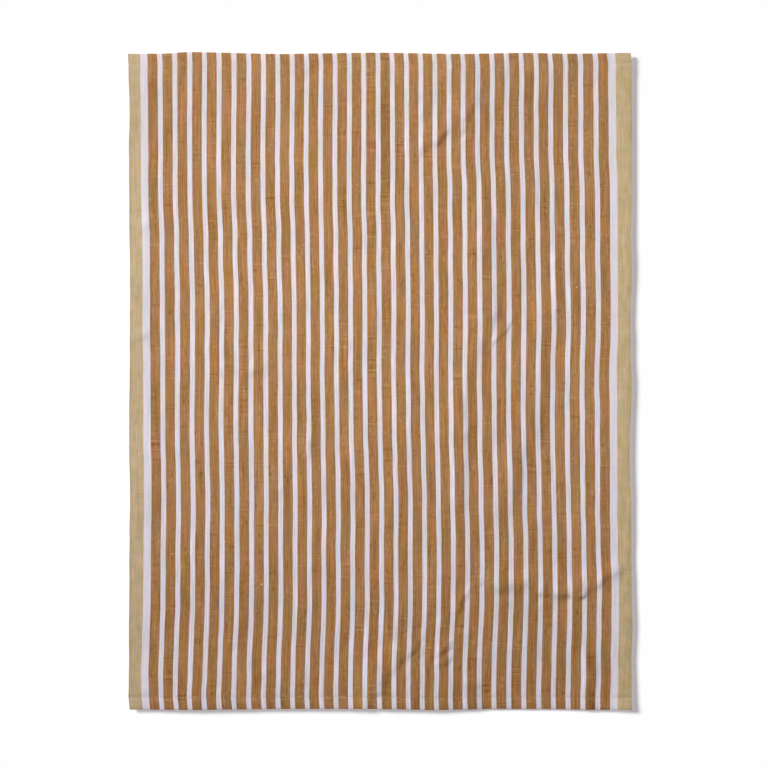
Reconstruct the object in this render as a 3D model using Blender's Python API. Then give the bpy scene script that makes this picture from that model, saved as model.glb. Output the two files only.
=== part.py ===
"""Tea towel: one length of striped linen with a sewn hem at each end, laid out flat.

Metres, +Z up. +X is across the stripes and +Y runs along them. The origin lies on the surface that
the towel is laid on, under the middle of the cloth.
"""

from collections import namedtuple

import bmesh
import bpy
from mathutils import Vector

MM = 0.001

# Driving dimensions
WIDTH = 0.502           # across the stripes, over the furthest points of the two selvedges
LENGTH = 0.654          # along the stripes, over the furthest points of the two hems
CLOTH = 0.0011          # thickness of the single cloth
HEM_DEPTH = 0.0110      # from the folded edge of a hem to its line of stitches
HEM_EXTRA = 0.0009      # what the two layers turned under add
HEM_SLOPE = 0.0020      # length over which the cloth drops from the hem to its own thickness
EDGE_ROLL = 0.0060      # width of the strip that bends down again along a raised edge
ROLL_DROP = 0.25        # how much of its rise a raised edge loses over that strip
MERGE_POWER = 3.0       # how softly folds that cross run into each other
CELL = 0.0125           # widest cell of the modelled grid

# Grid lines near a border, measured in from the edge (mm)
SIDE_LINES = (0.0, 3.0, 8.0, 17.0, 30.0)
HEM_LINES = (0.0, 4.0, 11.0, 13.0, 21.0, 32.0)

# One row for each turn of an edge, in mm. "at" runs along the edge from the towel's middle, "inset"
# is how far the edge is drawn in there, "rise" how high the edge stands off the surface, and "reach"
# how far in the cloth takes to come down again. The towel stands on its four corners and its field.
Edge = namedtuple("Edge", "at inset rise reach")

LEFT_EDGE = (
    Edge(-327, 0.2, 0.0, 25),
    Edge(-280, 0.5, 0.0, 25),
    Edge(-150, 0.8, 0.0, 25),
    Edge(-125, 1.5, 1.4, 30),
    Edge(-50, 0.7, 0.0, 25),
    Edge(30, 1.6, 1.7, 32),
    Edge(95, 1.8, 2.0, 34),
    Edge(160, 0.8, 0.2, 25),
    Edge(230, 0.3, 0.4, 25),
    Edge(257, 1.2, 1.5, 30),
    Edge(327, 0.0, 0.0, 25),
)
RIGHT_EDGE = (
    Edge(-327, 0.8, 0.0, 30),
    Edge(-303, 0.7, 2.7, 31),
    Edge(-286, 0.6, 3.0, 32),
    Edge(-243, 0.0, 3.9, 38),
    Edge(-178, 0.5, 3.4, 34),
    Edge(-125, 0.9, 3.7, 36),
    Edge(-70, 2.5, 4.3, 44),
    Edge(-8, 0.5, 4.1, 44),
    Edge(60, 1.8, 3.7, 56),
    Edge(118, 0.4, 3.8, 44),
    Edge(145, 1.5, 4.0, 40),
    Edge(192, 0.3, 3.3, 34),
    Edge(303, 0.6, 3.0, 31),
    Edge(327, 0.7, 0.0, 30),
)
BOTTOM_EDGE = (
    Edge(-251, 0.2, 0.0, 26),
    Edge(-229, 0.1, 2.0, 28),
    Edge(-183, 0.0, 3.3, 34),
    Edge(-150, 0.4, 3.2, 34),
    Edge(-100, 1.2, 2.4, 30),
    Edge(-45, 1.7, 2.6, 30),
    Edge(0, 1.3, 3.0, 34),
    Edge(56, 0.1, 2.4, 32),
    Edge(88, 0.5, 1.7, 28),
    Edge(112, 1.1, 0.1, 24),
    Edge(170, 1.1, 0.0, 24),
    Edge(215, 0.3, 1.2, 26),
    Edge(234, 0.3, 2.0, 28),
    Edge(251, 0.3, 0.0, 28),
)
TOP_EDGE = (
    Edge(-251, 1.7, 0.0, 24),
    Edge(-213, 1.7, 1.2, 28),
    Edge(-189, 0.0, 0.2, 24),
    Edge(-93, 2.1, 1.5, 32),
    Edge(-4, 0.6, 0.3, 24),
    Edge(83, 2.0, 1.6, 32),
    Edge(148, 0.8, 0.2, 24),
    Edge(193, 1.7, 1.2, 28),
    Edge(251, 1.2, 0.0, 26),
)

# One row for each fold, in mm: the points that its crest runs through, its half width and its height.
Fold = namedtuple("Fold", "crest half_width height")

FOLDS = (
    Fold(((167, 82), (156, 10), (144, -59), (112, -124)), 23, 1.7),     # long bend right of the middle
    Fold(((98, 165), (107, 80), (86, 20), (76, -39), (78, -114)), 19, 1.3),
    Fold(((18, -34), (18, -112)), 16, 0.8),
    Fold(((-84, -58), (-74, -62)), 20, 0.9),                            # small dome left of the middle
    Fold(((22, -252), (0, -290), (-20, -334)), 21, 2.2),                # slants down into the bottom hem
    Fold(((118, -199), (204, -200), (254, -176)), 15, 1.5),             # runs across into the right edge
    Fold(((45, 239), (102, 281)), 15, 1.1),                             # slants up towards the top hem
    Fold(((-199, 28), (-110, 34), (-14, 44)), 24, 0.9),                 # broad and level
    Fold(((-252, 160), (-222, 157)), 17, 1.1),                          # short, from the left edge
    Fold(((-252, 58), (-218, 50)), 16, 1.1),
)

# Photographed colour of the tan stripes, linear RGB
TAN = (0.40, 0.20, 0.085)


def eased(t):
    """0 to 1 with level ends."""
    return t * t * (3.0 - 2.0 * t)


def edge_at(rows, at):
    """The row that applies at one place along an edge, blended from its two neighbours."""
    at = min(max(at / MM, rows[0].at), rows[-1].at)
    for low, high in zip(rows, rows[1:]):
        if at <= high.at:
            share = eased((at - low.at) / (high.at - low.at))
            return Edge(*(a + (b - a) * share for a, b in zip(low, high)))
    return rows[-1]


def edge_rise(row, depth):
    """Height of the cloth at a depth in from an edge: up towards it, then rolled down a little."""
    reach = row.reach * MM
    if depth >= reach:
        return 0.0
    climb = eased(1.0 - depth / reach)
    roll = eased(max(0.0, 1.0 - depth / EDGE_ROLL))
    return row.rise * MM * climb * (1.0 - ROLL_DROP * roll)


def distance_to_crest(point, crest):
    """Shortest distance from a point to the line through a fold's crest points."""
    best = None
    for start, end in zip(crest, crest[1:]):
        start = Vector(start) * MM
        run = Vector(end) * MM - start
        share = min(max((point - start).dot(run) / run.length_squared, 0.0), 1.0)
        distance = (point - start - run * share).length
        best = distance if best is None else min(best, distance)
    return best


def fold_rise(fold, point):
    """Height of one fold at a point: a smooth mound across its crest."""
    share = distance_to_crest(point, fold.crest) / (fold.half_width * MM)
    return fold.height * MM * (1.0 - share * share) ** 2 if share < 1.0 else 0.0


def underside(across, along):
    """Height of the cloth's lower face. It is exactly 0 wherever the cloth lies on the surface."""
    rises = [
        edge_rise(edge_at(LEFT_EDGE, along), WIDTH / 2 + across),
        edge_rise(edge_at(RIGHT_EDGE, along), WIDTH / 2 - across),
        edge_rise(edge_at(BOTTOM_EDGE, across), LENGTH / 2 + along),
        edge_rise(edge_at(TOP_EDGE, across), LENGTH / 2 - along),
    ]
    rises += [fold_rise(fold, Vector((across, along))) for fold in FOLDS]
    return sum(rise ** MERGE_POWER for rise in rises) ** (1.0 / MERGE_POWER)


def thickness(along):
    """One layer in the field of the cloth, and the turned hem at each end."""
    depth = LENGTH / 2 - abs(along)
    share = min(max((HEM_DEPTH + HEM_SLOPE - depth) / HEM_SLOPE, 0.0), 1.0)
    return CLOTH + HEM_EXTRA * share


def drawn_in(across, along):
    """Where a point of the straight rectangle lies once the four edges are drawn in."""
    left = edge_at(LEFT_EDGE, along).inset * MM
    right = edge_at(RIGHT_EDGE, along).inset * MM
    bottom = edge_at(BOTTOM_EDGE, across).inset * MM
    top = edge_at(TOP_EDGE, across).inset * MM
    share_x = 0.5 + across / WIDTH
    share_y = 0.5 + along / LENGTH
    return across + left * (1.0 - share_x) - right * share_x, along + bottom * (1.0 - share_y) - top * share_y


def grid_lines(size, border):
    """Places of the grid lines along one side: close together at the borders, even between."""
    near = [line * MM - size / 2 for line in border]
    span = -2.0 * near[-1]
    cells = round(span / CELL)
    middle = [near[-1] + span * step / cells for step in range(1, cells)]
    return near + middle + [-line for line in reversed(near)]


def towel_mesh():
    """The lower face as a grid, extruded into a closed sheet and raised by the cloth's thickness."""
    columns = grid_lines(WIDTH, SIDE_LINES)
    rows = grid_lines(LENGTH, HEM_LINES)
    bm = bmesh.new()
    layer = bm.verts.layers.float.new("thickness")
    lines = []
    for along in rows:
        line = []
        for across in columns:
            vert = bm.verts.new((*drawn_in(across, along), underside(across, along)))
            vert[layer] = thickness(along)
            line.append(vert)
        lines.append(line)
    for low, high in zip(lines, lines[1:]):
        for i in range(len(columns) - 1):
            bm.faces.new((low[i], low[i + 1], high[i + 1], high[i]))
    raised = bmesh.ops.extrude_face_region(bm, geom=bm.faces[:], use_keep_orig=True)
    for vert in raised["geom"]:
        if isinstance(vert, bmesh.types.BMVert):
            vert.co.z += vert[layer]
    bmesh.ops.recalc_face_normals(bm, faces=bm.faces[:])
    mesh = bpy.data.meshes.new("towel_cloth")
    bm.to_mesh(mesh)
    bm.free()
    return mesh


def linen():
    """Matt woven linen in the colour of the stripes."""
    material = bpy.data.materials.new("striped_linen")
    material.use_nodes = True
    shader = material.node_tree.nodes["Principled BSDF"]
    shader.inputs["Base Color"].default_value = (*TAN, 1.0)
    shader.inputs["Roughness"].default_value = 0.9
    shader.inputs["Metallic"].default_value = 0.0
    return material


def main():
    for old in list(bpy.data.objects):
        bpy.data.objects.remove(old, do_unlink=True)
    mesh = towel_mesh()
    mesh.materials.append(linen())
    mesh.shade_smooth()
    mesh.set_sharp_from_angle(angle=0.7)
    bpy.context.scene.collection.objects.link(bpy.data.objects.new("towel_cloth", mesh))


main()
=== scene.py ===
# A tea towel of striped linen, laid out flat and seen from straight above.
# Metres, +X across the stripes, +Y along them, the surface it lies on at z = 0.
import math
import random
from collections import namedtuple

import bpy
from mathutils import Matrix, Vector, noise


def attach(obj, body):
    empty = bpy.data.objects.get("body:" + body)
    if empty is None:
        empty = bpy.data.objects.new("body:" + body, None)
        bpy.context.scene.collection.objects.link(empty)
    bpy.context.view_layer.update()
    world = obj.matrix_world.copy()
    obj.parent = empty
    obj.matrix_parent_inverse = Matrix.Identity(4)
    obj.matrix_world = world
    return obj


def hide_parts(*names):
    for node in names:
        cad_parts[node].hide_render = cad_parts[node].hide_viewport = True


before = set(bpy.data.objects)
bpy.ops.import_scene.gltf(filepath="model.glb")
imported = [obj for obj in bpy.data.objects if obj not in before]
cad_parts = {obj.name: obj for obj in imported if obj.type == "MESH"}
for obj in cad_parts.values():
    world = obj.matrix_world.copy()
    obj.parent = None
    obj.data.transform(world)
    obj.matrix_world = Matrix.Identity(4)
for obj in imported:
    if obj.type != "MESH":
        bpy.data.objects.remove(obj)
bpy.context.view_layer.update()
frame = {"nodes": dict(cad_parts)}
mm = 0.001
print("Frame loaded:", ", ".join(frame["nodes"]))


# The camera looks straight down, with the towel a little left of and above the picture's middle.
picture = {
    "lens": 85.0,
    "sensor": 36.0,
    "width": 0.7642,  # how much of the surface the picture takes in
    "middle": (0.0037, -0.0030),
}


def makeCamera():
    height = picture["width"] * picture["lens"] / picture["sensor"]
    bpy.ops.object.camera_add(location=(*picture["middle"], height), rotation=(0, 0, 0))
    camera = bpy.context.object
    camera.data.lens = picture["lens"]
    camera.data.sensor_width = picture["sensor"]
    bpy.context.scene.camera = camera


makeCamera()
print("Camera placed")


# One low soft light from the upper left, a lamp close above the towel's upper half, and a pale room.
studio = {
    "keyFrom": (-3.6, 2.0, 2.4),
    "keyStrength": 3.78,
    "keyColour": (1.0, 0.995, 1.02),
    "keyAngle": 0.32,  # its apparent size, which softens the shadows
    "fillAt": (-0.10, 0.165, 0.60),
    "fillSize": 0.45,
    "fillPower": 2.07,
    "fillColour": (1.0, 0.975, 0.955),
    "room": (1.0, 1.0, 1.0),
    "roomStrength": 0.05,
    "floorRadius": 30.0,
    "floorSides": 96,
    "floor": {
        "Base Color": (0.98, 1.0, 0.985, 1.0),
        "Roughness": 0.9,
        "Specular IOR Level": 0.1,
        "Emission Color": (0.355, 0.336, 0.356, 1.0),  # keeps the shadows pale
        "Emission Strength": 1.0,
    },
}


def newMaterial(name, surface):  # with its nodes and its shader
    material = bpy.data.materials.new(name)
    material.use_nodes = True
    shader = material.node_tree.nodes["Principled BSDF"]
    for socket, value in surface.items():
        shader.inputs[socket].default_value = value
    return material, material.node_tree, shader


def makeStudio():
    bpy.ops.object.light_add(type="SUN", location=studio["keyFrom"])
    key = bpy.context.object
    key.rotation_euler = (-Vector(studio["keyFrom"])).to_track_quat("-Z", "Y").to_euler()
    key.data.energy = studio["keyStrength"]
    key.data.angle = studio["keyAngle"]
    key.data.color = studio["keyColour"]
    bpy.ops.object.light_add(type="AREA", location=studio["fillAt"])
    fill = bpy.context.object
    fill.data.size = studio["fillSize"]
    fill.data.energy = studio["fillPower"]
    fill.data.color = studio["fillColour"]
    fill.visible_camera = False

    world = bpy.data.worlds.new("paleRoom")
    world.use_nodes = True
    background = world.node_tree.nodes["Background"]
    background.inputs["Color"].default_value = (*studio["room"], 1.0)
    background.inputs["Strength"].default_value = studio["roomStrength"]
    bpy.context.scene.world = world
    bpy.context.scene.view_settings.view_transform = "Standard"  # colours as they are lit

    bpy.ops.object.select_all(action="DESELECT")
    bpy.ops.mesh.primitive_circle_add(
        vertices=studio["floorSides"], radius=studio["floorRadius"], fill_type="NGON"
    )
    floor = bpy.context.object
    floor.name = "floor"
    floor.data.materials.append(newMaterial("palePaper", studio["floor"])[0])
    unlit = bpy.data.collections.new("notUnderTheLamp")  # the near lamp lights the towel alone
    unlit.objects.link(floor)
    unlit.collection_objects[0].light_linking.link_state = "EXCLUDE"
    fill.light_linking.receiver_collection = unlit
    return floor


floor = makeStudio()
print("Studio lit")


# Edges of the cloth, in mm. "at" runs along an edge from the towel's middle, "inset" is how far the
# edge is drawn in there, "rise" how high it stands up, "reach" how far in the cloth takes to come down.
edgeRow = namedtuple("edgeRow", "at inset rise reach")
leftEdge = (
    edgeRow(-327, 0.2, 0.8, 45),
    edgeRow(-280, 0.5, 0.0, 40),
    edgeRow(-150, 0.8, 0.0, 40),
    edgeRow(-125, 1.5, 1.4, 45),
    edgeRow(-50, 0.7, 0.0, 40),
    edgeRow(30, 1.6, 1.7, 48),
    edgeRow(95, 1.8, 2.0, 50),
    edgeRow(160, 0.8, 0.2, 40),
    edgeRow(230, 0.3, 0.4, 40),
    edgeRow(257, 1.2, 1.5, 45),
    edgeRow(327, 0.0, 0.3, 40),
)
rightEdge = (
    edgeRow(-327, 0.8, 2.6, 70),
    edgeRow(-286, 1.0, 3.0, 75),
    edgeRow(-243, 0.3, 3.9, 90),
    edgeRow(-178, 0.9, 3.0, 85),
    edgeRow(-125, 1.4, 3.7, 90),
    edgeRow(-70, 2.8, 4.3, 100),
    edgeRow(-8, 0.8, 4.0, 100),
    edgeRow(26, 1.9, 4.0, 105),
    edgeRow(60, 2.0, 3.7, 110),
    edgeRow(118, 0.6, 3.8, 100),
    edgeRow(145, 1.7, 4.0, 95),
    edgeRow(192, 0.3, 3.3, 80),
    edgeRow(327, 0.7, 3.0, 70),
)
bottomEdge = (
    edgeRow(-251, 0.8, 2.8, 60),
    edgeRow(-183, 0.6, 4.1, 80),
    edgeRow(-150, 1.0, 4.1, 80),
    edgeRow(-100, 1.5, 3.5, 70),
    edgeRow(-45, 1.6, 3.8, 70),
    edgeRow(-18, 1.6, 3.3, 70),
    edgeRow(8, 1.3, 4.0, 75),
    edgeRow(56, 0.4, 3.8, 65),
    edgeRow(88, 0.8, 2.7, 55),
    edgeRow(112, 1.2, 1.0, 45),
    edgeRow(170, 1.0, 0.9, 45),
    edgeRow(215, 0.4, 1.7, 50),
    edgeRow(251, 0.6, 2.9, 65),
)
topEdge = (
    edgeRow(-251, 1.7, 0.3, 40),
    edgeRow(-213, 1.7, 1.2, 45),
    edgeRow(-189, 0.0, 0.2, 40),
    edgeRow(-93, 2.1, 1.5, 40),
    edgeRow(-60, 1.6, 1.7, 18),
    edgeRow(-30, 1.0, 0.8, 30),
    edgeRow(-4, 0.6, 0.3, 40),
    edgeRow(83, 2.0, 1.6, 48),
    edgeRow(148, 0.8, 0.2, 40),
    edgeRow(193, 1.7, 1.2, 45),
    edgeRow(251, 1.2, 1.0, 40),
)

# Broad folds, in mm: the points that a crest runs through, the half width and the height.
foldRow = namedtuple("foldRow", "crest halfWidth height")
folds = (
    # long bends right of the middle
    foldRow(((167, 82), (156, 10), (144, -59), (112, -124)), 23, 1.2),
    foldRow(((98, 165), (107, 80), (86, 20), (76, -39), (78, -114)), 19, 1.3),
    # short, in the middle
    foldRow(((18, -34), (18, -112)), 16, 0.8),
    # small dome left of the middle
    foldRow(((-84, -58), (-74, -62)), 20, 0.9),
    # leads down to the bottom hem
    foldRow(((18, -240), (-16, -266)), 20, 1.0),
    # runs across into the right edge
    foldRow(((116, -198), (196, -203), (236, -186)), 15, 1.3),
    # slants up towards the top hem
    foldRow(((41, 238), (94, 281)), 15, 1.1),
    # broad and level
    foldRow(((-199, 28), (-110, 34), (-14, 44)), 24, 0.9),
    # short, from the left edge
    foldRow(((-252, 160), (-222, 157)), 17, 1.1),
    foldRow(((-252, 58), (-218, 50)), 16, 1.1),
)

# Creases, sharper than the folds, in mm. The cloth climbs slowly over "lit", the side towards the
# light, and drops quickly over "shaded". "pressed" adds a fine ridge along the crest.
creaseRow = namedtuple("creaseRow", "crest lit shaded height pressed", defaults=(0.0,))
creases = (
    # slants up at the top
    creaseRow(((30, 222), (55, 241), (78, 256), (99, 273)), 10, 8, 0.72),
    creaseRow(((54, 229), (60, 239), (66, 250)), 5, 4, 0.22, 0.03),
    creaseRow(((83, 244), (88, 255), (95, 270)), 7, 5, 0.70, 0.03),
    # lower right
    creaseRow(((73, -234), (80, -220), (89, -203)), 9, 6, 0.75, 0.08),
    creaseRow(((87, -213), (95, -203), (104, -190)), 7, 5, 0.55, 0.08),
    creaseRow(((100, -202), (122, -205), (150, -200)), 11, 8, 0.90),
    creaseRow(((150, -209), (178, -211), (208, -208)), 12, 8, 1.40, 0.03),
    creaseRow(((190, -223), (197, -213), (206, -202)), 7, 5, 0.50, 0.04),
    creaseRow(((204, -206), (218, -197), (238, -184)), 9, 6, 0.60, 0.02),
    # the diagonal that runs down into the bottom hem, and those beside it
    creaseRow(((-26, -360), (-12, -312), (2, -292), (22, -272), (42, -258)), 25, 10, 1.45),
    creaseRow(((-11, -315), (0, -309), (12, -303)), 5, 3.5, 0.70, 0.16),
    creaseRow(((25, -278), (33, -270), (45, -261)), 7, 4, 0.50, 0.13),
    creaseRow(((51, -277), (62, -269), (77, -261)), 9, 6, 0.75, 0.04),
    creaseRow(((51, -286), (62, -280), (75, -274)), 7, 5, 0.45, 0.05),
    # level, left of the middle
    creaseRow(((-176, 10), (-142, 11), (-112, 9)), 11, 7, 1.15),
    # at the left edge
    creaseRow(((-256, 39), (-222, 52)), 8, 5, 0.75),
    creaseRow(((-262, 152), (-218, 158)), 9, 5, 0.65),
    creaseRow(((-232, 172), (-229, 140)), 9, 6, 0.35),
    creaseRow(((-216, 122), (-205, 100)), 8, 5, 0.60),
    # long bends right of the middle, and shorter ones beside them
    creaseRow(((104, 207), (106, 166), (108, 130)), 10, 7, 0.70),
    creaseRow(((116, 110), (117, 78), (106, 42), (93, 22)), 10, 7, 0.75),
    creaseRow(((139, 74), (126, 52), (108, 30)), 7, 4, 0.50, 0.04),
    creaseRow(((88, 14), (82, -48), (81, -90), (81, -130)), 13, 9, 0.65),
    creaseRow(((162, 20), (161, -30), (149, -60), (132, -84), (121, -112), (119, -132)), 14, 9, 0.18),
    creaseRow(((176, 132), (177, 60)), 9, 6, 1.10),
    creaseRow(((193, 108), (193, 62)), 8, 6, 0.85),
    creaseRow(((31, 6), (31, -60)), 9, 6, 0.80),
    creaseRow(((-4, 90), (-2, 40)), 9, 6, 0.45),
    # on the small dome
    creaseRow(((-76, -50), (-70, -82)), 11, 8, 1.05),
    creaseRow(((-108, -52), (-107, -74)), 7, 5, 0.45),
    # short ones in the field
    creaseRow(((17, 148), (18, 108)), 8, 5, 0.60),
    creaseRow(((-29, 52), (-31, 24)), 7, 5, 0.65),
    creaseRow(((-38, 14), (-40, -12)), 7, 5, 0.55),
    creaseRow(((14, 32), (15, 8)), 7, 5, 0.40),
    creaseRow(((59, 86), (60, 56)), 7, 5, 0.35),
    creaseRow(((-110, -120), (-92, -98)), 8, 5, 0.40),
    creaseRow(((-126, -158), (-124, -184)), 7, 5, 0.50),
    creaseRow(((-187, -146), (-186, -206)), 9, 6, 0.35),
    creaseRow(((-164, -261), (-138, -262)), 8, 6, 0.65),
    # by the hems
    creaseRow(((208, -262), (209, -300), (208, -350)), 9, 7, 0.80),
    creaseRow(((142, -246), (144, -276)), 8, 6, 0.55),
    creaseRow(((-136, -298), (-102, -288)), 9, 7, 0.62),
    creaseRow(((-242, -306), (-212, -308)), 9, 6, 0.50),
    creaseRow(((72, -300), (112, -302)), 9, 6, 0.80),
    creaseRow(((-218, 268), (-190, 276)), 8, 5, 0.45),
    creaseRow(((-80, 300), (-58, 332)), 9, 6, 0.50),
)

# Crumpled places, in mm: the middle, how far it reaches across and along, and how high its small
# bumps stand.
crumpledRow = namedtuple("crumpledRow", "across along reachAcross reachAlong height")
crumpled = (
    crumpledRow(40, -262, 95, 62, 0.55),
    crumpledRow(160, -215, 80, 34, 0.45),
    crumpledRow(68, 262, 62, 62, 0.45),
    crumpledRow(-10, 305, 330, 34, 0.22),
    crumpledRow(-150, -290, 110, 40, 0.32),
    crumpledRow(95, 70, 70, 75, 0.25),
)

# How far the stripes wander sideways, in mm, at seven places across the cloth.
wanderRow = namedtuple("wanderRow", "at leftBand left leftMiddle middle rightMiddle right rightBand")
wanderPlaces = wanderRow(None, -233, -173, -116, 0, 100, 173, 233)
wander = (
    wanderRow(-314, -1.2, -1.9, -0.7, -1.0, -2.8, -1.1, -0.2),
    wanderRow(-290, -2.0, -1.0, -0.2, -0.7, -2.5, -0.5, 0.7),
    wanderRow(-215, -0.2, 1.0, 2.0, 1.5, 0.0, 1.0, 1.5),
    wanderRow(-165, 0.3, 1.1, 2.0, 1.2, 0.5, 0.6, 0.4),
    wanderRow(-125, 1.0, 1.5, 2.0, 1.5, -0.5, -0.5, -0.5),
    wanderRow(-35, 0.0, 0.0, 1.5, -0.5, -2.0, -2.0, -0.5),
    wanderRow(14, -0.3, 0.9, 1.4, -1.2, -2.5, -1.5, -1.0),
    wanderRow(60, -0.5, 1.0, 1.5, -1.0, -2.0, -0.5, 0.5),
    wanderRow(145, -1.0, -0.5, 0.0, -1.5, -2.5, -2.0, 0.0),
    wanderRow(190, -2.3, -2.0, -1.3, -2.3, -2.9, -2.0, 0.0),
    wanderRow(230, -2.5, -2.0, -1.5, -2.0, -4.3, -3.5, -1.5),
    wanderRow(313, -2.8, -1.6, -0.5, -2.1, -4.2, -3.4, -2.0),
)

cloth = {
    "width": 500.8 * mm,
    "length": 654 * mm,  # as it lies, hem to hem
    "thickness": 0.45 * mm,
    "clearance": 0.15 * mm,  # from the surface to the lowest layer
    "layerGap": 0.02 * mm,  # between the layers of a hem
    "hemDepth": (12.4 * mm, 10.6 * mm),  # of the bottom and the top hem, from folded edge to stitches
    # how far aside each hem's folded edge lies, at its left and at its right end
    "hemLean": ((1.3 * mm, -0.1 * mm), (-0.4 * mm, -1.2 * mm)),
    "groove": (0.07 * mm, 0.30 * mm),  # how deep the stitches lie, in the field and in the bands
    "swell": (0.22 * mm, 0.50 * mm),  # how much higher the folded edge lies, there as well
    "swellBy": 1.5,  # so that it is full a third of the hem's depth in from that edge
    "bandAt": 232.0 * mm,  # from there out the cloth is a selvedge band, which is stiffer
    "bandSoft": 6.0 * mm,  # and over that width it becomes one
    "slope": 70.0 * mm,  # over which the cloth comes down from the hem to the surface
    "tuck": 8.5 * mm,  # raw edge turned in between the two outer layers
    "tuckPast": 0.5 * mm,  # how far it turns past the end of the field
    "cell": 3.15 * mm,
    "sideStep": 2.0 * mm,  # finer cells along each selvedge
    "sideSteps": 4,
    "edgeRoll": 8.0 * mm,  # strip that bends down again along a raised edge
    "rollDrop": 0.02,  # how much of its rise a raised edge loses over that strip
    "mergePower": 3.0,  # how softly two raised edges run into each other at a corner
    "foldShare": 0.74,  # how much of its height a broad fold keeps under its creases
    "creaseTail": 14.0 * mm,  # how slowly a crease fades out at its ends
    "pressedWidth": (3.5 * mm, 1.8 * mm),  # of a fine ridge, towards the light and away from it
    "pressedCells": 8.0 * mm,  # how far from its crest the cells are smaller
    "pressedCuts": 2,
    "evenCells": (12.0 * mm, 20.0 * mm),  # so near the sides and the hems they stay as they are
    "pucker": 0.30 * mm,  # the single cloth puffs up beside the stitches
    "puckerAt": 3.2 * mm,
    "puckerReach": 2.6 * mm,
    "sharp": 50.0,  # degrees from which an edge of the mesh looks sharp
}

# Unevenness, in mm: the width and the length of a bump or bend, how big it is, and a seed.
noiseRow = namedtuple("noiseRow", "width length size seed")
noises = {
    "surface": (noiseRow(16, 30, 0.46, 1.0), noiseRow(9, 13, 0.20, 2.0)),
    "stripes": (noiseRow(40, 26, 0.45, 5.0), noiseRow(12, 6, 0.04, 6.0)),
    "crests": (noiseRow(11, 11, 3.0, 16.0), noiseRow(11, 11, 3.0, 18.0)),
    "folds": noiseRow(14, 20, 0.8, 12.0),  # folds and creases swell and fade along their crests
    "creases": noiseRow(14, 20, 0.8, 14.0),
    "ridges": noiseRow(8, 8, 2.2, 20.0),  # and their fine ridges even more so
    "crumples": noiseRow(7, 8, 1.0, 24.0),
    "puckers": noiseRow(6, 30, 1.6, 9.0),
    "lean": noiseRow(6, 30, 1.6, 22.0),
}


def eased(t):
    t = min(max(t, 0.0), 1.0)
    return t * t * (3.0 - 2.0 * t)


def rowAt(rows, at):  # the row that applies at one place, blended from its two neighbours
    at = min(max(at / mm, rows[0].at), rows[-1].at)
    for low, high in zip(rows, rows[1:]):
        if at <= high.at:
            share = eased((at - low.at) / (high.at - low.at))
            return low._make(a + (b - a) * share for a, b in zip(low, high))


def edgeRise(row, depth):  # height at a depth in from an edge: up towards it, then rolled down a little
    reach = row.reach * mm
    if depth >= reach:
        return 0.0
    roll = cloth["rollDrop"] * eased(1.0 - depth / cloth["edgeRoll"])
    return row.rise * mm * eased(1.0 - depth / reach) * (1.0 - roll)


def alongCrest(point, crest):  # distance from a crest, on which side, how far along it, and its length
    best = None
    travelled = 0.0
    for start, end in zip(crest, crest[1:]):
        start = Vector(start) * mm
        run = Vector(end) * mm - start
        share = min(max((point - start).dot(run) / run.length_squared, 0.0), 1.0)
        off = point - start - run * share
        if best is None or off.length < best[0]:
            best = (off.length, run.x * off.y - run.y * off.x, travelled + share * run.length)
        travelled += run.length
    return *best, travelled


def foldRise(fold, point):
    share = alongCrest(point, fold.crest)[0] / (fold.halfWidth * mm)
    return cloth["foldShare"] * fold.height * mm * (1.0 - share * share) ** 2 if share < 1.0 else 0.0


def creaseRise(crease, point):  # its height, and that of its fine ridge
    distance, side, travelled, length = alongCrest(point, crease.crest)
    run = Vector(crease.crest[-1]) - Vector(crease.crest[0])
    leftIsLit = Vector((-run.y, run.x)).dot(Vector(studio["keyFrom"][:2])) > 0.0
    shaded = (side > 0.0) != leftIsLit
    share = distance / ((crease.shaded if shaded else crease.lit) * mm)
    if share >= 1.0:
        return Vector((0.0, 0.0))
    tail = min(cloth["creaseTail"], length / 2)
    fade = eased(travelled / tail) * eased((length - travelled) / tail)
    ridge = crease.pressed * max(1.0 - distance / cloth["pressedWidth"][shaded], 0.0) ** 2
    return Vector((crease.height * (1.0 - share * share) ** 2, ridge)) * mm * fade


def boxed(rows, reach):  # each row with the box that it acts in, so that points far off are skipped
    found = []
    for row in rows:
        acrosses, alongs = zip(*row.crest)
        low = Vector((min(acrosses) - reach, min(alongs) - reach)) * mm
        high = Vector((max(acrosses) + reach, max(alongs) + reach)) * mm
        found.append((row, low, high))
    return found


boxedFolds = boxed(folds, max(row.halfWidth for row in folds))
boxedCreases = boxed(creases, max(max(row.lit, row.shaded) for row in creases))


def risesNear(boxedRows, rise, point):
    return [
        rise(row, point)
        for row, low, high in boxedRows
        if low.x < point.x < high.x and low.y < point.y < high.y
    ]


def noiseAt(row, x, y):  # -size to size
    return row.size * noise.noise(Vector((x / (row.width * mm), y / (row.length * mm), row.seed)))


def crumpledAt(x, y):  # how much a place is crumpled, as the height of its small bumps
    amount = 0.0
    for row in crumpled:
        across = (x / mm - row.across) / row.reachAcross
        along = (y / mm - row.along) / row.reachAlong
        amount += row.height * eased(max(1.0 - across * across - along * along, 0.0))
    return amount


def wanderAt(x, y, left, right):  # sideways shift of the cloth, which follows the edges at its sides
    row = rowAt(wander, y)
    half = cloth["width"] / mm / 2
    places = (-half, *wanderPlaces[1:], half)
    shifts = (left, *row[1:], -right)
    at = min(max(x / mm, -half), half)
    for low, high, a, b in zip(places, places[1:], shifts, shifts[1:]):
        if at <= high:
            return (a + (b - a) * eased((at - low) / (high - low))) * mm


lowest = cloth["clearance"] + cloth["thickness"] / 2  # middle of the layer that lies on the surface
layer = cloth["thickness"] + cloth["layerGap"]
highest = lowest + 2 * layer  # middle of a hem's top layer
seam = 1.0 * mm  # half the width of the stitches' groove
near = 0.1 * mm  # places closer than that are the same
fieldEnds = [cloth["length"] / 2 - depth - seam for depth in cloth["hemDepth"]]


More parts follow.
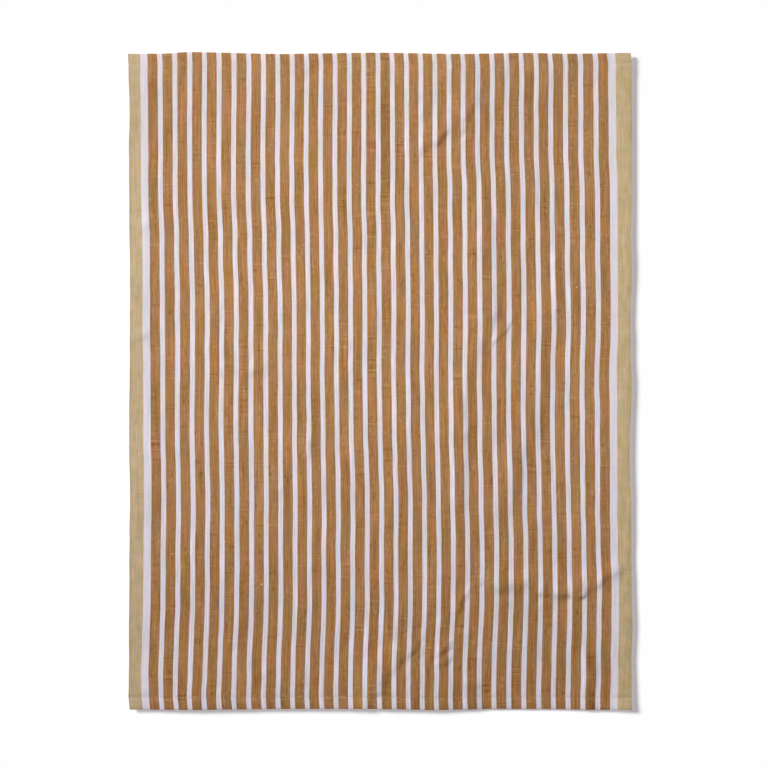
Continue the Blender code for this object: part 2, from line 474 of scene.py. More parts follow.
def dropAt(y):  # how far the single cloth comes down from the level of the hems' top layer
    past = fieldEnds[y > 0] - abs(y)
    return 2 * layer * eased(past / cloth["slope"])


def fieldOrBand(pair, x):  # the first in the field, the second in the selvedge bands
    inBand = eased((abs(x) - cloth["bandAt"]) / cloth["bandSoft"])
    return pair[0] + (pair[1] - pair[0]) * inBand


def layCloth(x, y, z):  # where a point of the flat, hemmed towel lies once it is on the surface
    halfWidth, halfLength = cloth["width"] / 2, cloth["length"] / 2
    left, right = rowAt(leftEdge, y), rowAt(rightEdge, y)
    bottom, top = rowAt(bottomEdge, x), rowAt(topEdge, x)
    share = 0.5 + y / cloth["length"]
    across = x + wanderAt(x, y, left.inset, right.inset)
    across += sum(noiseAt(row, x, y) for row in noises["stripes"]) * mm
    along = y + (bottom.inset * (1.0 - share) - top.inset * share) * mm
    inHem = max(1.0 - (halfLength - abs(y)) / cloth["hemDepth"][y > 0], 0.0)
    atLeft, atRight = cloth["hemLean"][y > 0]
    lean = atLeft + (atRight - atLeft) * (0.5 + x / cloth["width"])
    across += lean * inHem * (1.0 + noiseAt(noises["lean"], x, y) / 2)

    point = Vector([at + noiseAt(row, x, y) * mm for at, row in zip((x, y), noises["crests"])])
    rises = [
        edgeRise(left, halfWidth + x),
        edgeRise(right, halfWidth - x),
        edgeRise(bottom, halfLength + y),
        edgeRise(top, halfLength - y),
    ]
    height = sum(rise ** cloth["mergePower"] for rise in rises) ** (1.0 / cloth["mergePower"])
    height += sum(risesNear(boxedFolds, foldRise, point)) * (1.0 + noiseAt(noises["folds"], x, y) / 2)
    crease, ridge = sum(risesNear(boxedCreases, creaseRise, point), Vector((0.0, 0.0)))
    height += crease * (1.0 + noiseAt(noises["creases"], x, y))
    height += ridge * max(1.0 + noiseAt(noises["ridges"], x, y), 0.0)
    height += sum(row.size + noiseAt(row, x, y) for row in noises["surface"]) * mm / 2
    height += crumpledAt(x, y) * (1.0 + noiseAt(noises["crumples"], x, y)) * mm
    offLine = (halfLength - cloth["hemDepth"][y > 0] - abs(y) - cloth["puckerAt"]) / cloth["puckerReach"]
    height += cloth["pucker"] * math.exp(-offLine * offLine) * (1.0 + noiseAt(noises["puckers"], x, y)) / 2
    height += fieldOrBand(cloth["swell"], x) * eased(inHem * cloth["swellBy"])
    return Vector((across, along, z - dropAt(y) + max(height, 0.0)))


def hemPath(end):  # middle of the cloth past one end of the field, as (outward, up) from there
    bend = cloth["length"] / 2 - cloth["thickness"] / 2 - layer - fieldEnds[end]
    past = -cloth["tuckPast"]
    path = [(seam, highest), (2 * seam, highest)]
    path += [(2 * seam + (bend - 2 * seam) * step / 3, highest) for step in range(1, 4)]
    for step in range(1, 7):  # over the folded edge and under
        angle = math.pi * step / 6
        path.append((bend + layer * math.sin(angle), lowest + layer + layer * math.cos(angle)))
    path += [(bend + (past - bend) * step / 4, lowest) for step in range(1, 5)]
    for step in range(1, 5):  # round the turned-in edge
        angle = math.pi * step / 4
        path.append((past - layer / 2 * math.sin(angle), lowest + layer / 2 * (1.0 - math.cos(angle))))
    path += [(past + cloth["tuck"] * step / 3, lowest + layer) for step in range(1, 4)]
    return path


def pick(mesh, test):  # selects the vertices that pass, and nothing else, and goes into edit mode
    bpy.ops.object.mode_set(mode="OBJECT")
    for part in (mesh.vertices, mesh.edges, mesh.polygons):
        part.foreach_set("select", [False] * len(part))
    for vert in mesh.vertices:
        vert.select = test(vert.co)
    bpy.ops.object.mode_set(mode="EDIT")


def nearPressed(co):  # where the cells have to be small
    fromSide, fromHem = cloth["evenCells"]
    if abs(co.x) > cloth["width"] / 2 - fromSide or abs(co.y) > cloth["length"] / 2 - fromHem:
        return False
    for crease, low, high in boxedCreases:
        if crease.pressed and low.x < co.x < high.x and low.y < co.y < high.y:
            if alongCrest(co.xy, crease.crest)[0] < cloth["pressedCells"]:
                return True
    return False


def flatTowel():  # the middle of the cloth, one layer of faces, with both hems folded under
    sideWidth = cloth["sideStep"] * cloth["sideSteps"]
    fieldWidth = cloth["width"] - 2 * sideWidth
    fieldLength = sum(fieldEnds)
    bpy.ops.object.select_all(action="DESELECT")
    bpy.ops.mesh.primitive_grid_add(
        x_subdivisions=round(fieldWidth / cloth["cell"]),
        y_subdivisions=round(fieldLength / cloth["cell"]),
        size=1.0,
        location=(0, 0, 0),
    )
    towel = bpy.context.object
    towel.name = "towelCloth"
    bpy.ops.object.mode_set(mode="EDIT")
    bpy.ops.mesh.select_mode(type="VERT")
    bpy.ops.transform.resize(value=(fieldWidth, fieldLength, 1.0))
    bpy.ops.transform.translate(value=(0, (fieldEnds[1] - fieldEnds[0]) / 2, highest))
    pick(towel.data, nearPressed)
    bpy.ops.mesh.subdivide(number_cuts=cloth["pressedCuts"])
    for side in (-1, 1):
        pick(towel.data, lambda co: co.x * side > fieldWidth / 2 - near)
        for step in range(cloth["sideSteps"]):
            move = {"value": (side * cloth["sideStep"], 0, 0)}
            bpy.ops.mesh.extrude_region_move(TRANSFORM_OT_translate=move)
    for end, side in enumerate((-1, 1)):
        pick(towel.data, lambda co: co.y * side > fieldEnds[end] - near)
        before = (0.0, highest)
        for outward, up in hemPath(end):
            move = {"value": (0, side * (outward - before[0]), up - before[1])}
            bpy.ops.mesh.extrude_region_move(TRANSFORM_OT_translate=move)
            before = (outward, up)
    bpy.ops.object.mode_set(mode="OBJECT")
    return towel


def clothPlan(mesh):  # for each vertex, its place on the cloth before it was hemmed; and its flat length
    ends = []
    for end in (0, 1):
        places = [(0.0, highest, 0.0)]
        for outward, up in hemPath(end):
            step = math.hypot(outward - places[-1][0], up - places[-1][1])
            places.append((outward, up, places[-1][2] + step))
        ends.append(places)
    plan = []
    for vert in mesh.vertices:
        across, along, up = vert.co
        end = int(along > 0)
        outward = abs(along) - fieldEnds[end]
        if outward > near or up < highest - near:
            nearest = min(ends[end], key=lambda place: math.hypot(outward - place[0], up - place[1]))
            along = math.copysign(fieldEnds[end] + nearest[2], along)
        plan.append((across, along))
    return plan, sum(fieldEnds) + sum(places[-1][2] for places in ends)


def grooveAt(x, y, z):  # how deep the stitches pull down a point of a hem's top layer
    offSeam = abs(cloth["length"] / 2 - cloth["hemDepth"][y > 0] - abs(y)) / seam
    if z < highest - near or offSeam >= 1.0:
        return 0.0
    return fieldOrBand(cloth["groove"], x) * (1.0 - offSeam)


def makeTowel():
    towel = flatTowel()
    mesh = towel.data
    plan, flatLength = clothPlan(mesh)
    mesh.uv_layers[0].name = "clothPlan"
    for loop in mesh.loops:
        mesh.uv_layers["clothPlan"].data[loop.index].uv = plan[loop.vertex_index]
    for vert in mesh.vertices:
        vert.co = layCloth(vert.co.x, vert.co.y, vert.co.z - grooveAt(*vert.co))
    oneSide = len(mesh.vertices)
    bpy.ops.object.modifier_add(type="SOLIDIFY")
    solidify = towel.modifiers[-1]
    solidify.thickness = cloth["thickness"]
    solidify.offset = 0.0
    bpy.ops.object.modifier_apply(modifier=solidify.name)
    spreadForBaking(mesh, oneSide, min(along for across, along in plan), flatLength)
    bpy.ops.object.shade_smooth_by_angle(angle=math.radians(cloth["sharp"]))
    return towel, flatLength


# Where the towel's faces lie on its second map, as shares of it: the two sides next to each other, and
# the thin rims in strips beside and above them.
bakeMap = {
    "front": (0.004, 0.676),
    "back": (0.686, 0.980),
    "along": (0.004, 0.982),
    "sideRims": ((0.985, 0.988), (0.992, 0.995)),
    "endRims": ((0.986, 0.989), (0.992, 0.995)),
}


def spreadForBaking(mesh, oneSide, start, flatLength):
    plan = mesh.uv_layers["clothPlan"].data
    spread = mesh.uv_layers.new(name="OFBake").data
    halfWidth = cloth["width"] / 2

    def between(span, share):
        return span[0] + (span[1] - span[0]) * share

    for face in mesh.polygons:
        under = [mesh.loops[i].vertex_index >= oneSide for i in face.loop_indices]
        places = [plan[i].uv.copy() for i in face.loop_indices]
        rim = any(under) and not all(under)
        atSide = all(abs(place.x) > halfWidth - near for place in places)
        for i, place, below in zip(face.loop_indices, places, under):
            across = 0.5 + place.x / cloth["width"]
            along = between(bakeMap["along"], (place.y - start) / flatLength)
            if not rim:
                spread[i].uv = (between(bakeMap["back" if below else "front"], across), along)
            elif atSide:
                spread[i].uv = (between(bakeMap["sideRims"][places[0].x > 0], below), along)
            else:
                across = between(bakeMap["front"], across)
                spread[i].uv = (across, between(bakeMap["endRims"][places[0].y > 0], below))


random.seed(4)
towel, flatLength = makeTowel()
print(f"Towel laid: {len(towel.data.polygons)} faces, cut {cloth['width']:.3f} by {flatLength:.3f} m")


# Running stitches along both hems, on the front and on the back.
stitch = {
    "pitch": 3.0 * mm,
    "length": 2.3 * mm,
    "radius": 0.095 * mm,
    "sides": 6,
    # shares of its length, and how far up it is there in mm
    "arch": ((0.00, -0.22), (0.16, 0.00), (0.34, 0.09), (0.66, 0.09), (0.84, 0.00), (1.00, -0.22)),
    "margin": 4.0 * mm,  # free of stitches at each selvedge
    "turn": 5.0,  # degrees either way
    "shift": 0.12 * mm,
}


def selectOnly(objects):
    bpy.ops.object.select_all(action="DESELECT")
    for one in objects:
        one.select_set(True)
    bpy.context.view_layer.objects.active = objects[0]


def oneStitch():  # a short length of thread that comes up, runs on and goes down again
    bpy.ops.object.select_all(action="DESELECT")
    start = -stitch["length"] / 2
    bpy.ops.mesh.primitive_circle_add(
        vertices=stitch["sides"],
        radius=stitch["radius"],
        fill_type="NGON",
        location=(start, 0, stitch["arch"][0][1] * mm),
        rotation=(0, math.pi / 2, 0),
    )
    thread = bpy.context.object
    bpy.ops.object.transform_apply(location=True, rotation=True, scale=True)
    bpy.ops.object.mode_set(mode="EDIT")
    bpy.ops.mesh.select_all(action="SELECT")
    for (share, up), (nextShare, nextUp) in zip(stitch["arch"], stitch["arch"][1:]):
        move = {"value": ((nextShare - share) * stitch["length"], 0, (nextUp - up) * mm)}
        bpy.ops.mesh.extrude_region_move(TRANSFORM_OT_translate=move)
    bpy.ops.mesh.select_all(action="SELECT")
    bpy.ops.mesh.normals_make_consistent(inside=False)
    bpy.ops.object.mode_set(mode="OBJECT")
    return thread


def makeStitches():
    thread = oneStitch()
    each = len(thread.data.vertices)
    halfRow = cloth["width"] / 2 - stitch["margin"]
    count = int(2 * halfRow / stitch["pitch"])
    top = highest + cloth["thickness"] / 2
    bottom = cloth["clearance"]
    bpy.ops.object.modifier_add(type="ARRAY")
    array = thread.modifiers[-1]
    array.count = count
    array.use_relative_offset = False
    array.use_constant_offset = True
    array.constant_offset_displace = (stitch["pitch"], 0, 0)
    bpy.ops.object.modifier_apply(modifier=array.name)
    rows = [thread]
    for step in range(3):
        selectOnly([thread])
        bpy.ops.object.duplicate()
        rows.append(bpy.context.object)
    places = ((-1, 1), (1, 1), (-1, -1), (1, -1))  # which hem, and its front or its back
    for row, (side, face) in zip(rows, places):
        for i in range(0, len(row.data.vertices), each):
            verts = row.data.vertices[i:i + each]
            middle = sum((vert.co for vert in verts), Vector()) / each
            turn = math.radians(random.uniform(-stitch["turn"], stitch["turn"]))
            shift = Vector([random.uniform(-stitch["shift"], stitch["shift"]) for axis in range(2)])
            for vert in verts:
                off = vert.co - middle
                x = vert.co.x - halfRow + stitch["pitch"] / 2 * (face < 0) + shift.x - off.y * math.sin(turn)
                line = side * (cloth["length"] / 2 - cloth["hemDepth"][side > 0])
                y = line + off.y + off.x * math.sin(turn) + shift.y
                z = top - grooveAt(x, line, highest) + vert.co.z if face > 0 else bottom - vert.co.z
                vert.co = layCloth(x, y, z)
    selectOnly(rows)
    bpy.ops.object.join()
    thread.name = "hemStitches"
    bpy.ops.object.mode_set(mode="EDIT")
    bpy.ops.mesh.select_all(action="SELECT")
    bpy.ops.mesh.normals_make_consistent(inside=False)
    bpy.ops.object.mode_set(mode="OBJECT")
    bpy.ops.object.shade_smooth()
    return thread


stitches = makeStitches()
print(f"Hems sewn: {len(stitches.data.polygons)} faces")


def feed(tree, socket, value):  # links an output, or sets a plain value
    if isinstance(value, bpy.types.NodeSocket):
        tree.links.new(value, socket)
    else:
        socket.default_value = value


def calc(tree, operation, *values):
    node = tree.nodes.new("ShaderNodeMath")
    node.operation = operation
    for socket, value in zip(node.inputs, values):
        feed(tree, socket, value)
    return node.outputs[0]


def smooth(tree, value, low, high, start=0.0, end=1.0):  # a soft step from start to end
    node = tree.nodes.new("ShaderNodeMapRange")
    node.interpolation_type = "SMOOTHSTEP"
    names = ("Value", "From Min", "From Max", "To Min", "To Max")
    for name, given in zip(names, (value, low, high, start, end)):
        feed(tree, node.inputs[name], given)
    return node.outputs[0]


def blend(tree, share, first, second, kind="MIX"):  # of two colours
    node = tree.nodes.new("ShaderNodeMix")
    node.data_type = "RGBA"
    node.blend_type = kind
    for socket, value in ((node.inputs[0], share), (node.inputs[6], first), (node.inputs[7], second)):
        feed(tree, socket, value)
    return node.outputs[2]


def times(tree, first, second):
    return blend(tree, 1.0, first, second, "MULTIPLY")


def texture(tree, across, along, row, further=0.0):  # noise, -0.5 to 0.5
    place = tree.nodes.new("ShaderNodeCombineXYZ")
    x = calc(tree, "DIVIDE", across, row.across)
    feed(tree, place.inputs[0], calc(tree, "ADD", x, row.seed + further))
    feed(tree, place.inputs[1], calc(tree, "DIVIDE", along, row.along))
    node = tree.nodes.new("ShaderNodeTexNoise")
    node.noise_dimensions = "2D"
    feed(tree, node.inputs["Vector"], place.outputs[0])
    node.inputs["Scale"].default_value = 1.0
    node.inputs["Detail"].default_value = row.detail
    return calc(tree, "SUBTRACT", node.outputs[0], 0.5)


def mixed(tree, share, first, second):  # of two plain values
    node = tree.nodes.new("ShaderNodeMix")
    for socket, value in ((node.inputs[0], share), (node.inputs[2], first), (node.inputs[3], second)):
        feed(tree, socket, value)
    return node.outputs[0]


def joined(tree, values):  # a colour from its red, green and blue
    node = tree.nodes.new("ShaderNodeCombineColor")
    for socket, value in zip(node.inputs, values):
        feed(tree, socket, value)
    return node.outputs[0]


def grey(tree, value):
    return joined(tree, (value, value, value))


def channel(tree, colour, name):
    node = tree.nodes.new("ShaderNodeSeparateColor")
    feed(tree, node.inputs[0], colour)
    return node.outputs[name]


def inMm(tree, place):  # how far a place lies across and along
    node = tree.nodes.new("ShaderNodeSeparateXYZ")
    feed(tree, node.inputs[0], place)
    return [calc(tree, "DIVIDE", output, mm) for output in node.outputs[:2]]


def relief(tree, height, distance):  # a bumped normal
    node = tree.nodes.new("ShaderNodeBump")
    node.inputs["Distance"].default_value = distance
    feed(tree, node.inputs["Height"], height)
    return node.outputs[0]


# How a value strays from place to place: the size of a place across and along, in mm, how much detail it
# has, a seed, and how far the value strays, as a share. A gate opens from the noise's low to its high, a
# hue strays in red and in blue, and a slope changes a value steadily from its start to its end.
strayRow = namedtuple("strayRow", "across along detail seed amount")
gateRow = namedtuple("gateRow", "across along detail seed low high")
hueRow = namedtuple("hueRow", "across along detail seed red blue")
slopeRow = namedtuple("slopeRow", "start end amount")

# Stripes of the weave, in mm, and the linear colours of the yarns.
weave = {
    "tan": 9.70,
    "white": 4.72,
    "tanStripes": 32,
    "wideWhite": 7.4,  # between the outermost tan stripe and the selvedge band
    "yarn": 14.42 / 25,  # 17 tan and 8 white ends in a repeat
    "pick": 0.62,  # from one weft yarn to the next
    "rounded": 0.6,  # how far a yarn drops towards its next crossing
    # how ragged a stripe's borders are, in mm
    "ragged": (strayRow(3.0, 2.0, 1.0, 0.0, 0.16), strayRow(6.0, 9.0, 1.0, 20.0, 0.16)),
    "edges": (0.15, 0.30, 0.70),  # how soft a border looks in red, green and blue
    "bandEdge": 0.3,
    "fade": 6.0,  # over which a dark or ribbed length of a stripe comes and goes
    "halo": (1.6, 0.8, 0.05),  # painted shade: the tan is less red near a border, where the next yarns shade it: from where, where fully, how much
    "heart": (0.075, 0.04, 0.005),  # how much duller a white stripe's middle is, in red, green and blue
    "heartReach": 0.9,
    "yarnStep": 3.7,  # how far the noise moves on from one yarn to the next
    "stripeStep": 31.3,  # from one stripe to the next, so that no two match
    "markStep": 17.9,

    "tanColour": (0.368, 0.185, 0.0690),
    "tanWeights": (1.0, 1.38, 2.1),  # how much a change of the tan's level, dye and painted shade alike, shows in red, green and blue
    "tanLong": strayRow(1.5, 70.0, 1.0, 45.0, 0.46),  # long streaks, over two or three yarns
    "tanYarn": strayRow(1.0, 22.0, 2.0, 40.0, 0.52),  # from one yarn to the next
    "tanGrain": strayRow(1.7, 6.0, 2.0, 47.0, 0.37),  # short thick and thin places
    "tanCloud": strayRow(5.0, 3.6, 1.0, 49.0, 0.26),  # soft marks a few picks long
    "rough": gateRow(8.0, 15.0, 1.0, 57.0, -0.12, 0.20),
    "roughRange": (0.15, 1.5),  # how much grain and cloud show in the evenest places and in the roughest
    "tanPatch": strayRow(9.0, 26.0, 2.0, 50.0, 0.19),  # over most of a stripe
    "tanStripe": strayRow(40.0, 60.0, 1.0, 55.0, 0.19),
    "tanHue": hueRow(5.0, 42.0, 4.0, 3.0, 0.60, 1.36),
    "paintedShadeBelow": slopeRow(-100.0, -350.0, -0.09),  # painted shade: the tan darkens towards the bottom hem, where the light falls off
    "paintedLightAbove": slopeRow(275.0, 310.0, 0.07),  # and painted light makes it paler beside the top one
    "lines": strayRow(40.0, 1.8, 0.0, 70.0, 0.45),  # thick weft yarns that show through
    "marked": gateRow(1.0, 10.0, 0.0, 60.0, 0.15, 0.24),  # and where they do
    "highlightDashes": gateRow(7.0, 1.1, 0.0, 75.0, 0.10, 0.22),  # where along the stitch lines the painted highlights show, in short dashes of weft

    "whiteColour": (0.722, 0.669, 0.702),
    "whiteYarn": strayRow(1.0, 40.0, 2.0, 80.0, 0.56),
    "whitePatch": strayRow(9.0, 14.0, 2.0, 85.0, 0.12),
    "whiteHue": hueRow(2.2, 50.0, 4.0, 90.0, 0.62, 0.68),
    "whitePaintedShade": slopeRow(-235.0, -290.0, -0.03),  # painted shade: the white darkens a little towards the bottom hem
    "paintedBluerBelow": slopeRow(250.0, -250.0, 0.04),  # and painted light makes it bluer on the way there
    "paleHems": slopeRow(314.0, 317.5, 0.035),  # and is paler in the hems
    "calm": 0.55,  # how much of their unevenness the yarns outside the tan stripes keep

    "leftColour": (0.525, 0.402, 0.240),
    "rightColour": (0.545, 0.418, 0.234),
    "beigeWeights": (1.0, 1.15, 1.5),
    "beigePaintedShade": 0.4,  # how much of the tan's painted shade towards the bottom hem the bands have
    "beigeYarn": 0.35,  # what they have more of than the white: uneven yarns
    "beigeLines": 0.26,  # and thick weft yarns
    "beigePatch": strayRow(7.0, 11.0, 2.0, 87.0, 0.26),
    "beigeHue": hueRow(4.5, 17.0, 4.0, 110.0, 0.38, 0.80),
    "edgeShade": slopeRow(246.0, 250.5, -0.10),  # painted shade: the outermost yarns of the bands are darker, where the selvedge rolls down

    "fluffColour": (0.62, 0.55, 0.46),
    "fluffCore": 0.4,  # the share of a slub that shows in full
    "crossingShade": (0.10, 0.945),  # painted shade of the weave: how much the height of a yarn shows in its colour, and what is added
    "fuzz": strayRow(0.7, 12.0, 2.0, 30.0, 1.2),  # fluff, in the bump alone
    "bump": 0.05 * mm,
    "surface": {
        "Roughness": 0.88,
        "Specular IOR Level": 0.15,
        "Sheen Weight": 0.06,
        "Sheen Roughness": 0.5,
    },
}

# Painted highlights beside the stitches, where the cloth's slopes face the light, in mm: along, how far off,
# and how much lighter it is there.
seamHighlightRow = namedtuple("seamHighlightRow", "along reach lighter")
seamHighlights = (seamHighlightRow(311.0, 3.4, 0.20), seamHighlightRow(-316.0, 5.5, 0.24))

# Lengths of a tan stripe: which one, counted from the left, from and to along it in mm, and how strongly
# it shows there that it was woven with darker yarn, or that its thick weft yarns stand out like rungs.
stretch = namedtuple("stretch", "stripe low high amount")
darkYarn = (
    stretch(10, 320, 335, 0.07),
    stretch(12, 318, 335, 0.12),
    stretch(16, 182, 335, 0.12),
    stretch(26, 277, 309, 0.10),
    stretch(30, -286, -266, 0.08),
    stretch(30, -345, -306, 0.08),
)
rungs = (
    stretch(0, -72, -50, 1.5),
    stretch(3, 210, 225, 0.9),
    stretch(5, 3, 20, 1.1),
    stretch(6, -36, -6, 1.0),
    stretch(10, 203, 230, 0.9),
    stretch(15, -1, 19, 1.3),
    stretch(18, 255, 268, 1.0),
    stretch(19, 216, 230, 1.2),
    stretch(27, -244, -230, 1.0),
    stretch(29, 251, 262, 0.9),
)

# Thick or fluffy places in a yarn, lighter than the rest, in mm.
slubRow = namedtuple("slubRow", "across along halfWidth halfLength lighter")
slubs = (
    slubRow(-207, -172, 0.9, 1.0, 0.9),
    slubRow(-120, -203, 1.0, 1.2, 1.0),
    slubRow(196, 94, 0.9, 1.3, 0.8),
    slubRow(-175, 117, 8.0, 0.5, 0.35),
    slubRow(-117, 131, 1.2, 0.8, 0.5),
)


def yarnHeight(tree, u, v):  # plain weave: at each crossing either the warp or the weft lies on top
    counts, squares = [], []
    for place, pitch in ((u, weave["yarn"]), (v, weave["pick"])):
        counted = calc(tree, "DIVIDE", place, pitch)
        counts.append(calc(tree, "FLOOR", counted))
        off = calc(tree, "SUBTRACT", calc(tree, "MULTIPLY", calc(tree, "FRACT", counted), 2.0), 1.0)
        squares.append(calc(tree, "MULTIPLY", off, off))
    over = calc(tree, "PINGPONG", calc(tree, "ADD", *counts), 1.0)
    warp, weft = [
        calc(tree, "MULTIPLY_ADD", along, -weave["rounded"], calc(tree, "SUBTRACT", 1.0, across))
        for across, along in (squares, squares[::-1])
    ]
    return mixed(tree, over, weft, warp)


def makeLinen():
    linen, tree, shader = newMaterial("stripedLinen", weave["surface"])
    plan = tree.nodes.new("ShaderNodeUVMap")
    plan.uv_map = "clothPlan"
    u, v = inMm(tree, plan.outputs[0])

    def strayed(level, across, row):
        return calc(tree, "MULTIPLY_ADD", texture(tree, across, v, row), row.amount, level)

    def gated(across, row, start=0.0, end=1.0):
        return smooth(tree, texture(tree, across, v, row), row.low, row.high, start, end)

    def sloped(place, row, start=0.0):
        return smooth(tree, place, row.start, row.end, start, start + row.amount)

    def weighed(level, weights):  # a change of the level, dye and painted shade alike, in the colours where it shows
        return joined(tree, [calc(tree, "MULTIPLY_ADD", level, weight, 1.0) for weight in weights])

    def hued(colour, across, row, share=1.0):
        parts = []
        for amount, further in ((row.red, 0.0), (row.blue, 50.0)):
            amount = calc(tree, "MULTIPLY", share, amount)
            parts.append(calc(tree, "MULTIPLY_ADD", texture(tree, across, v, row, further), amount, 1.0))
        return times(tree, colour, joined(tree, (parts[0], 1.0, parts[1])))

    # which stripe and which yarn a point is on
    at = u
    for row in weave["ragged"]:
        at = strayed(at, u, row)
    repeat = weave["tan"] + weave["white"]
    half = (weave["tanStripes"] * repeat - weave["white"]) / 2
    counted = calc(tree, "DIVIDE", calc(tree, "ADD", at, half + weave["white"] / 2), repeat)
    index = calc(tree, "FLOOR", counted)
    inRepeat = calc(tree, "MULTIPLY", calc(tree, "FRACT", counted), repeat)
    offMiddle = calc(tree, "ABSOLUTE", calc(tree, "SUBTRACT", inRepeat, repeat / 2))
    border = weave["tan"] / 2
    fromMiddle = calc(tree, "ABSOLUTE", at)
    inField = calc(tree, "LESS_THAN", fromMiddle, half + 1.0)
    bandStart = half + weave["wideWhite"]
    inBand = smooth(tree, fromMiddle, bandStart - weave["bandEdge"], bandStart + weave["bandEdge"])
    counted = calc(tree, "FLOOR", calc(tree, "DIVIDE", u, weave["yarn"]))
    yarn = calc(tree, "MULTIPLY", counted, weave["yarnStep"])
    apiece = calc(tree, "MULTIPLY_ADD", index, weave["stripeStep"], u)

    def within(row):  # 1 on one length of one tan stripe
        here = calc(tree, "COMPARE", index, float(row.stripe), 0.5)
        fade = min(weave["fade"], (row.high - row.low) / 4)
        begins = smooth(tree, v, row.low - fade, row.low + fade)
        ends = smooth(tree, v, row.high + fade, row.high - fade)
        return calc(tree, "MULTIPLY", calc(tree, "MULTIPLY", begins, ends), here)

    # every yarn takes the dye a little differently, and so does every stretch of it; first comes painted
    # shade, darker towards the bottom hem and lighter beside the top one
    paintedShadeBelow = sloped(v, weave["paintedShadeBelow"])
    level = calc(tree, "ADD", paintedShadeBelow, sloped(v, weave["paintedLightAbove"]))
    level = strayed(level, apiece, weave["tanLong"])
    level = strayed(level, yarn, weave["tanYarn"])
    rough = gated(apiece, weave["rough"], *weave["roughRange"])
    grain = strayed(strayed(0.0, apiece, weave["tanGrain"]), apiece, weave["tanCloud"])
    level = calc(tree, "MULTIPLY_ADD", grain, rough, level)
    level = strayed(level, apiece, weave["tanPatch"])
    level = strayed(level, apiece, weave["tanStripe"])
    marked = gated(calc(tree, "MULTIPLY", index, weave["markStep"]), weave["marked"])
    for row in rungs:
        marked = calc(tree, "MAXIMUM", marked, calc(tree, "MULTIPLY", within(row), row.amount))
    lines = strayed(0.0, apiece, weave["lines"])
    level = calc(tree, "MULTIPLY_ADD", marked, lines, level)
    highlightDashes = gated(apiece, weave["highlightDashes"])
    # painted highlights beside the stitch lines
    for row in seamHighlights:
        off = calc(tree, "ABSOLUTE", calc(tree, "SUBTRACT", v, row.along))
        lighter = smooth(tree, off, row.reach, row.reach / 3, 0.0, row.lighter)
        level = calc(tree, "MULTIPLY_ADD", lighter, highlightDashes, level)
    for row in darkYarn:
        level = calc(tree, "MULTIPLY_ADD", within(row), -row.amount, level)
    tan = times(tree, (*weave["tanColour"], 1.0), weighed(level, weave["tanWeights"]))
    tan = hued(tan, apiece, weave["tanHue"])
    # painted shade along the borders of the tan stripes
    outer, inner, shyness = weave["halo"]
    shy = smooth(tree, offMiddle, border - outer, border - inner, 1.0, 1.0 - shyness)
    tan = times(tree, tan, joined(tree, (shy, 1.0, 1.0)))

    paleHems = sloped(calc(tree, "ABSOLUTE", v), weave["paleHems"])
    calm = smooth(tree, fromMiddle, half, half + 1.0, 1.0, weave["calm"])
    uneven = strayed(strayed(0.0, yarn, weave["whiteYarn"]), apiece, weave["whitePatch"])
    # painted shade of the white towards the bottom hem, with the paler hems and uneven yarns
    quiet = calc(tree, "ADD", sloped(v, weave["whitePaintedShade"]), paleHems)
    quiet = calc(tree, "MULTIPLY_ADD", uneven, calm, quiet)
    white = times(tree, (*weave["whiteColour"], 1.0), grey(tree, calc(tree, "ADD", quiet, 1.0)))
    heart = smooth(tree, offMiddle, repeat / 2 - weave["heartReach"], repeat / 2)
    tint = [calc(tree, "MULTIPLY_ADD", heart, -share, 1.0) for share in weave["heart"]]
    # painted light: bluer towards the bottom hem
    tint[2] = calc(tree, "MULTIPLY", tint[2], sloped(v, weave["paintedBluerBelow"], 1.0))
    white = times(tree, white, joined(tree, tint))
    white = hued(white, apiece, weave["whiteHue"], calm)

    onRight = calc(tree, "GREATER_THAN", u, 0.0)
    beige = blend(tree, onRight, (*weave["leftColour"], 1.0), (*weave["rightColour"], 1.0))
    # the bands take part of the tan's painted shade towards the bottom hem
    mottled = calc(tree, "MULTIPLY_ADD", paintedShadeBelow, weave["beigePaintedShade"], quiet)
    mottled = calc(tree, "MULTIPLY_ADD", uneven, weave["beigeYarn"], mottled)
    shown = calc(tree, "MULTIPLY", rough, weave["beigeLines"])
    mottled = calc(tree, "MULTIPLY_ADD", lines, shown, mottled)
    mottled = strayed(mottled, u, weave["beigePatch"])
    beige = times(tree, beige, weighed(mottled, weave["beigeWeights"]))
    # painted shade along the outer edges of the bands
    beige = times(tree, beige, grey(tree, sloped(fromMiddle, weave["edgeShade"], 1.0)))
    beige = hued(beige, u, weave["beigeHue"])

    pale = blend(tree, inBand, white, beige)
    parts = []
    for name, edge in zip(("Red", "Green", "Blue"), weave["edges"]):
        inStripe = smooth(tree, offMiddle, border - edge, border + edge, 1.0, 0.0)
        share = calc(tree, "MULTIPLY", inStripe, inField)
        parts.append(mixed(tree, share, channel(tree, pale, name), channel(tree, tan, name)))
    colour = joined(tree, parts)
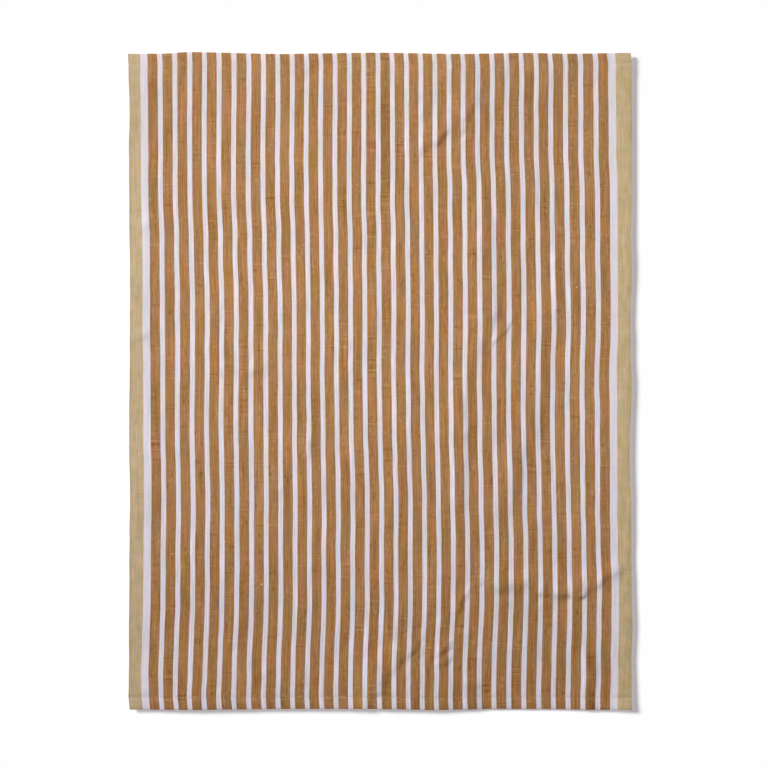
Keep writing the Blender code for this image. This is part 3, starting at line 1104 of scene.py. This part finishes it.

    # slubs, and the weave's painted shade where warp and weft lie on top of each other
    for row in slubs:
        x = calc(tree, "DIVIDE", calc(tree, "SUBTRACT", u, row.across), row.halfWidth)
        y = calc(tree, "DIVIDE", calc(tree, "SUBTRACT", v, row.along), row.halfLength)
        away = calc(tree, "ADD", calc(tree, "MULTIPLY", x, x), calc(tree, "MULTIPLY", y, y))
        fluff = smooth(tree, calc(tree, "SQRT", away), weave["fluffCore"], 1.0, row.lighter, 0.0)
        colour = blend(tree, fluff, colour, (*weave["fluffColour"], 1.0))
    height = yarnHeight(tree, u, v)
    shade = calc(tree, "MULTIPLY_ADD", height, *weave["crossingShade"])
    colour = times(tree, colour, grey(tree, shade))

    feed(tree, shader.inputs["Base Color"], colour)
    fuzzy = strayed(height, u, weave["fuzz"])
    feed(tree, shader.inputs["Normal"], relief(tree, fuzzy, weave["bump"]))
    return linen


# Cotton sewing thread with a fine twist, in mm. Its colour is darker than pale thread: painted shade of the
# stitched groove.
cotton = {
    "colour": (0.46, 0.33, 0.19),
    "slant": 2.0,  # how steeply the twist runs across the thread
    "twist": 16.0,  # and how closely, in radians for each mm
    "shading": (0.10, 0.95),  # painted shade of the twist: how much it shows in the colour, and what is added
    "patches": strayRow(3.0, 3.0, 1.0, 0.0, 0.3),
    "bump": 0.03 * mm,
    "surface": {"Roughness": 0.7, "Sheen Weight": 0.15},
}


def makeThread():
    thread, tree, shader = newMaterial("sewingThread", cotton["surface"])
    place = tree.nodes.new("ShaderNodeTexCoord")
    x, y = inMm(tree, place.outputs["Object"])
    slanted = calc(tree, "MULTIPLY_ADD", y, cotton["slant"], x)
    twist = calc(tree, "SINE", calc(tree, "MULTIPLY", slanted, cotton["twist"]))
    shade = calc(tree, "MULTIPLY_ADD", twist, *cotton["shading"])
    row = cotton["patches"]
    spotty = calc(tree, "MULTIPLY_ADD", texture(tree, x, y, row), row.amount, shade)
    feed(tree, shader.inputs["Base Color"], times(tree, (*cotton["colour"], 1.0), grey(tree, spotty)))
    feed(tree, shader.inputs["Normal"], relief(tree, twist, cotton["bump"]))
    return thread


towel.data.materials.clear()
towel.data.materials.append(makeLinen())
stitches.data.materials.clear()
stitches.data.materials.append(makeThread())
print("Materials made")

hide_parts("towel_cloth")
for piece in (towel, stitches):
    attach(piece, "root")
